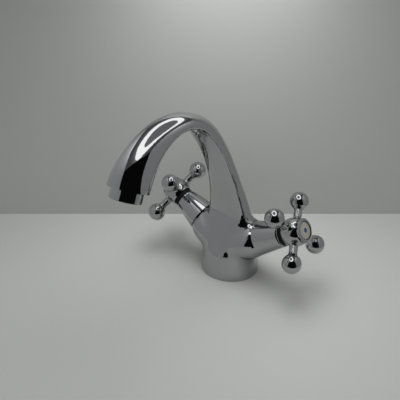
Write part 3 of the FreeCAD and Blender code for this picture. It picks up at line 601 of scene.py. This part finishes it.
def band(up, inner, outer, away=0.0, steps=96):
    """Points and faces of a flat oval band that looks up."""
    points, faces = [], []
    for step in range(steps):
        turn = 2 * math.pi * step / steps
        for across, along in (inner, outer):
            points.append((across * math.cos(turn), away + along * math.sin(turn), up))
        near, far = 2 * step, 2 * ((step + 1) % steps)
        faces.append((near, near + 1, far + 1, far))
    return points, faces


def sheet(name, points, faces, material):
    """A flat piece of the tent, given by points on the camera's axes."""
    mesh = bpy.data.meshes.new(name)
    mesh.from_pydata([spot(*point) for point in points], [], faces)
    mesh.materials.append(material)
    made = bpy.data.objects.new(name, mesh)
    bpy.context.collection.objects.link(made)
    return made


print("tent:", [round(v, 3) for v in (RIGHT - LEFT, BACK - FRONT, TOP)], "m wide, deep and high")

# %% [markdown]
# The floor and the back wall are real matt paper that the camera sees. The sides, the ceiling
# and the dark gap are cards that only reflections meet, which is the usual trick for lighting
# metal: they shape the reflections and leave the shadows alone. Each sheet is seen from its
# front only, so a view from behind or from above looks through the tent's back.

# %% Paper and cards
FIBRES, FIBRE_DEPTH = 900.0, 0.1


def one_sided(finish, front):
    """Close a material that shows on one side of a sheet and is clear from behind."""
    behind = finish.node("NewGeometry", output="Backfacing")
    clear = finish.node("BsdfTransparent")
    return finish.end(finish.node("MixShader", None, {0: behind, 1: front, 2: clear}))


def paper(name, low, high, fade):
    """Matt paper, of one colour at the floor and another at a height."""
    finish = Finish(name)
    height = finish.node("SeparateXYZ", None, {0: finish.place()}, output=2)
    fibres = finish.noise(FIBRES, 4.0) * FIBRE_DEPTH - FIBRE_DEPTH / 2
    colour = finish.blend(finish.between(0.0, fade, height) + fibres, (*low, 1), (*high, 1))
    return one_sided(finish, finish.node("BsdfDiffuse", None, {"Color": colour}))


def glow(name, colour, rule):
    """A card that shines, brighter or dimmer by a rule."""
    finish = Finish(name)
    shade = finish.node("VectorMath", {"operation": "SCALE"}, {0: colour, "Scale": rule(finish)})
    return one_sided(finish, finish.node("Emission", None, {"Color": shade}))


def mirrored(made):
    """Let only reflections meet this card."""
    made.visible_camera = False
    made.visible_diffuse = False
    made.visible_shadow = False
    return made


print("paper, shining cards and cards for reflections only")

# %% [markdown]
# The brightness of the side cards and of the ceiling isn't even. The lamp spills over the top
# of each side and lights the ceiling around its ring. Both spills are exponentials that fall
# with the distance from the lamp. The ceiling that shows through the middle of the ring is
# brighter as well, by one step. Small lamps could light the cards instead, but their light is
# hard to keep off the tap, and a rule is exact.


# %% How the cards shine
LAMP_AWAY, LAMP_HALF_WIDTH, LAMP_HALF_LENGTH, LAMP_HOLE = -0.065, 0.095, 0.14, 0.6
PATCH_AWAY, PATCH_HALF, PATCH_FALL, PATCH_GAIN = -0.05, 0.09, 0.05, 3.0
CEILING_GAIN, CEILING_FALL, HOLE_GAIN = 3.0, 7.0, 1.6


def box_axes(finish):
    """Distances across, away and up of the point on a card."""
    point = finish.node("TexCoord", output="Object")
    turned = finish.node("Mapping", None, {"Vector": point, "Rotation": (0, 0, -VIEW_YAW)})
    return [finish.node("SeparateXYZ", None, {0: turned}, output=axis) for axis in range(3)]


def side_light(finish):
    """Even light, with a bright patch under the lamp's level."""
    _, away, up = box_axes(finish)
    low = (TOP - up) / PATCH_FALL
    along = (away - PATCH_AWAY) / PATCH_HALF
    patch = finish.maths("EXPONENT", low * -1.0 - along * along)
    return patch * PATCH_GAIN + 1.0


def top_light(finish):
    """A dim ceiling that is brighter close to the ring lamp and inside it."""
    across, away, _ = box_axes(finish)
    x = across / LAMP_HALF_WIDTH
    y = (away - LAMP_AWAY) / LAMP_HALF_LENGTH
    out = finish.maths("SQRT", x * x + y * y)
    spill = finish.maths("EXPONENT", abs(out - 1.0) * -CEILING_FALL) * CEILING_GAIN
    return spill + (out < LAMP_HOLE) * HOLE_GAIN + 1.0


def even(level):
    """A rule that gives one level everywhere."""
    return lambda finish: level


print("brightest patch:", 1 + PATCH_GAIN, "times the side's own level")

# %% [markdown]
# The floor and the wall are one roll of paper with a fold behind the tap. The wall is a little
# paler towards the fold, where the floor lights it. The floor has a hole of 35 mm, like the
# basin that the tap is made for, so light gets into the foot when the tap is looked at from
# below.

# %% Floor and wall
WIDE, WALL_HEIGHT, TAP_HOLE = 1.2, 0.8, 0.0175
FADE = 0.28
WALL_LOW, WALL_HIGH = (0.366, 0.374, 0.364), (0.284, 0.291, 0.286)
FLOOR, FLOOR_SHADE = (0.470, 0.477, 0.466), (0.450, 0.457, 0.446)
sheet("floor", *band(0.0, (TAP_HOLE, TAP_HOLE), (WIDE, WIDE)),
      paper("floor_paper", FLOOR, FLOOR_SHADE, FADE))
sheet("back_wall", [
    (-WIDE, BACK, 0), (WIDE, BACK, 0), (WIDE, BACK, WALL_HEIGHT), (-WIDE, BACK, WALL_HEIGHT)],
    QUAD, paper("wall_paper", WALL_LOW, WALL_HIGH, FADE))
print("floor and wall:", 2 * WIDE, "m wide")

# %% [markdown]
# The left card is a little lighter than the right one, as the two flanks of the tap are in the
# photograph. The gap for the lens is nearly black, and it is what gives polished metal its dark
# edges: without something dark to mirror, chrome looks like grey paint.

# %% Cards
LEFT_CARD, RIGHT_CARD = (0.345, 0.350, 0.350), (0.285, 0.290, 0.290)
TOP_CARD, GAP_CARD = (0.09, 0.092, 0.092), (0.004, 0.004, 0.004)
mirrored(sheet(
    "left_card", [(LEFT, FRONT, 0), (LEFT, BACK, 0), (LEFT, BACK, TOP), (LEFT, FRONT, TOP)],
    QUAD, glow("left_card", LEFT_CARD, side_light)))
mirrored(sheet(
    "right_card", [(RIGHT, BACK, 0), (RIGHT, FRONT, 0), (RIGHT, FRONT, TOP), (RIGHT, BACK, TOP)],
    QUAD, glow("right_card", RIGHT_CARD, side_light)))
mirrored(sheet(
    "top_card", [(LEFT, BACK, TOP), (RIGHT, BACK, TOP), (RIGHT, FRONT, TOP), (LEFT, FRONT, TOP)],
    QUAD, glow("top_card", TOP_CARD, top_light)))
mirrored(sheet(
    "dark_gap", [(RIGHT, FRONT, 0), (LEFT, FRONT, 0), (LEFT, FRONT, TOP), (RIGHT, FRONT, TOP)],
    QUAD, glow("dark_gap", GAP_CARD, even(1.0))))
print("cards up")

# %% [markdown]
# ## The lamp
#
# What the chrome shows is a ring, so the reflected lamp is an elliptic ring of its own. The
# light that falls on the paper comes from a soft area light that reflections don't see. One
# lamp could do both, but then one number would set both the white of the ring and the grey of
# the floor. Split like this, the ring can be as white as it is in the photograph and the floor
# still keeps its plain grey.

# %% Ring lamp and soft light
LAMP_COLOUR, LAMP_LEVEL = (1, 1, 0.985), 2.0
SOFT_AWAY, SOFT_ENERGY = 0.01, 0.60
RING_DROP, SOFT_DROP = 0.002, 0.004
lamp = (LAMP_HALF_WIDTH, LAMP_HALF_LENGTH)
points, faces = band(TOP - RING_DROP, lamp, [size * LAMP_HOLE for size in lamp], LAMP_AWAY)
mirrored(sheet("ring_lamp", points, faces, glow("lamp_glow", LAMP_COLOUR, even(LAMP_LEVEL))))

soft = bpy.data.lights.new("soft_light", "AREA")
soft.shape = "ELLIPSE"
soft.size = 2 * LAMP_HALF_WIDTH
soft.size_y = 2 * LAMP_HALF_LENGTH
soft.energy = SOFT_ENERGY
soft.color = LAMP_COLOUR
light = bpy.data.objects.new("soft_light", soft)
light.location = spot(0, SOFT_AWAY, TOP - SOFT_DROP)
light.rotation_euler = (0, 0, VIEW_YAW)
light.visible_glossy = False
light.visible_camera = False
bpy.context.collection.objects.link(light)
print("lamp faces:", len(faces))

# %% [markdown]
# ## The room around the tent
#
# Past the paper there is only a plain grey. It is split by the kind of ray: the camera sees a
# pale room, chrome sees a dark one above and a pale one below, and matt paper gathers enough of
# it to fill the shadows. The pale part below only reaches the tap through the tap hole in the
# floor, which is what shows the inside of the foot from underneath.

# %% World
SHADES = {"seen": 0.6, "above": 0.05, "below": 0.5, "around": 0.74}
world = bpy.data.worlds.new("room")
bpy.context.scene.world = world
world.use_nodes = True
room = Network()
room.tree = world.node_tree
room.tree.nodes.clear()
shades = {name: room.add("ShaderNodeBackground", None, {"Color": (level, level, level, 1)})
          for name, level in SHADES.items()}
aim = room.add("ShaderNodeTexCoord", output="Generated")
low = room.add("ShaderNodeSeparateXYZ", None, {0: aim}, output="Z") < 0.0
for factor, chosen, rest in (
        (low, "below", "above"),
        (room.add("ShaderNodeLightPath", output="Is Glossy Ray"), "above", "around"),
        (room.add("ShaderNodeLightPath", output="Is Camera Ray"), "seen", "around")):
    shades[rest] = room.add("ShaderNodeMixShader", None, {
        0: factor, 1: shades[rest], 2: shades[chosen]})
out = room.tree.nodes.new("ShaderNodeOutputWorld")
room.tree.links.new(shades["around"].socket, out.inputs["Surface"])
bpy.context.scene.view_settings.view_transform = "Standard"
print("room shades:", SHADES)
